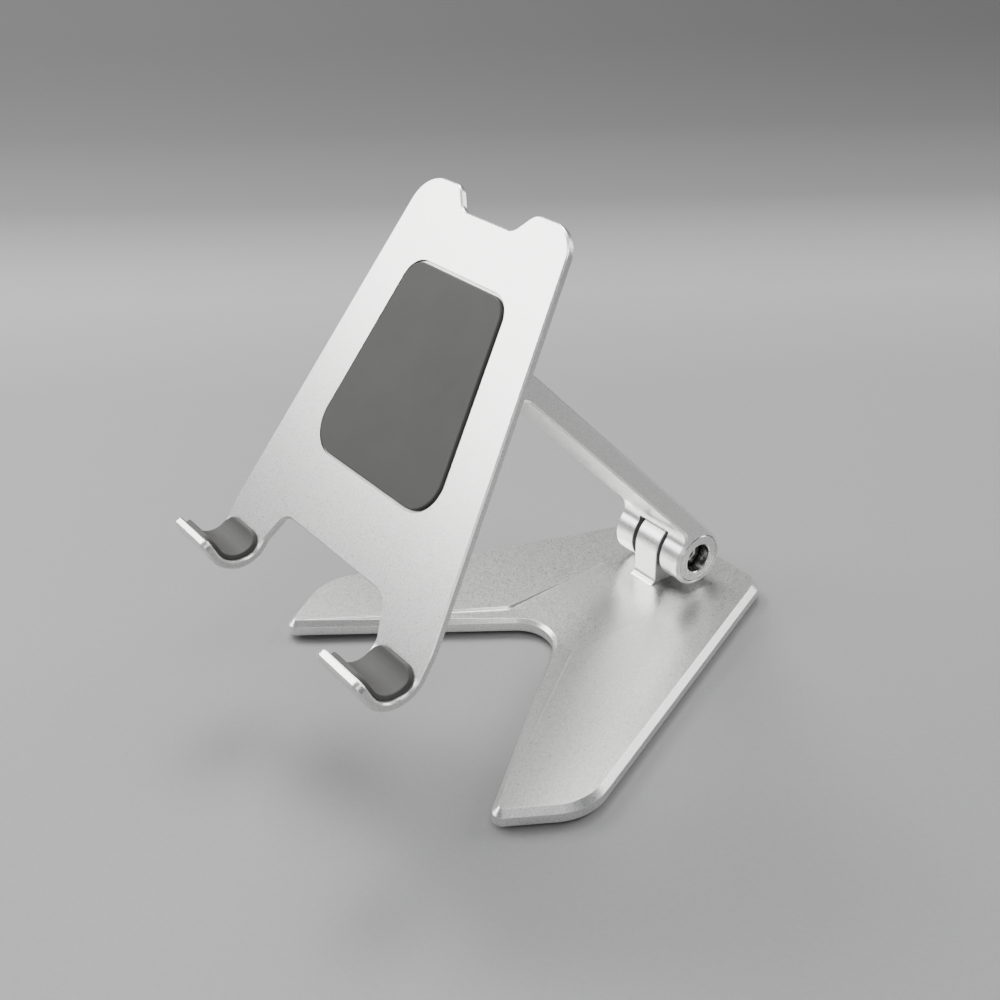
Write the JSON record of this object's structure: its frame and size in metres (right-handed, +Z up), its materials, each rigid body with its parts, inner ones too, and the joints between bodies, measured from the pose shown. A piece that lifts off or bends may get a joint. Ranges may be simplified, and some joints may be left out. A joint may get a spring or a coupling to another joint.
{
  "type": "phone stand",
  "caption": "Folding desk phone stand: chevron base plate, friction-hinged link arm and leaning cradle with padded hooks.",
  "frame": {"origin": "on the table, on the underside of the rear foot, straight below the axis of the lower hinge", "axes": "+X to the stand's right and along both hinge axes, +Y to the rear, +Z up"},
  "size_m": [0.097, 0.1224, 0.1075],
  "materials": {
    "anodised_base": "bead-blasted and clear anodised, satin",
    "anodised_arm": "bead-blasted and clear anodised, satin",
    "anodised_cradle": "bead-blasted and clear anodised, satin",
    "turned_cap": "turned face with fine circular tool marks",
    "screw_steel": "dark zinc-plated steel",
    "bearing_plastic": "moulded acetal",
    "grey_silicone": "matt grey silicone",
    "foot_rubber": "matt black rubber"
  },
  "bodies": {
    "base": {"base_plate": "anodised_base", "foot_rear": "foot_rubber", "foot_left": "foot_rubber", "foot_right": "foot_rubber", "lower_bush": "bearing_plastic"},
    "arm": {"arm": "anodised_arm", "lower_screw": "screw_steel", "lower_cap": "turned_cap", "lower_nut": "turned_cap", "lower_sleeve": "screw_steel", "lower_washer_left": "bearing_plastic", "lower_washer_right": "bearing_plastic", "upper_screw": "screw_steel", "upper_cap": "turned_cap", "upper_nut": "turned_cap", "upper_sleeve": "screw_steel", "upper_washer_left": "bearing_plastic", "upper_washer_right": "bearing_plastic"},
    "cradle": {"cradle_plate": "anodised_cradle", "cradle_lug": "anodised_cradle", "lug_screws": "screw_steel", "cradle_pad": "grey_silicone", "hook_pad_left": "grey_silicone", "hook_pad_right": "grey_silicone", "upper_bush": "bearing_plastic"}
  },
  "joints": [
    {"name": "base_hinge", "type": "hinge", "parent": "base", "child": "arm", "pos_m": [0, 0, 0.0129], "axis": [1, 0, 0], "range_deg": [-53, 44]},
    {"name": "cradle_hinge", "type": "hinge", "parent": "arm", "child": "cradle", "pos_m": [0, -0.05865, 0.0758], "axis": [-1, 0, 0], "range_deg": [-20, 102]}
  ]
}
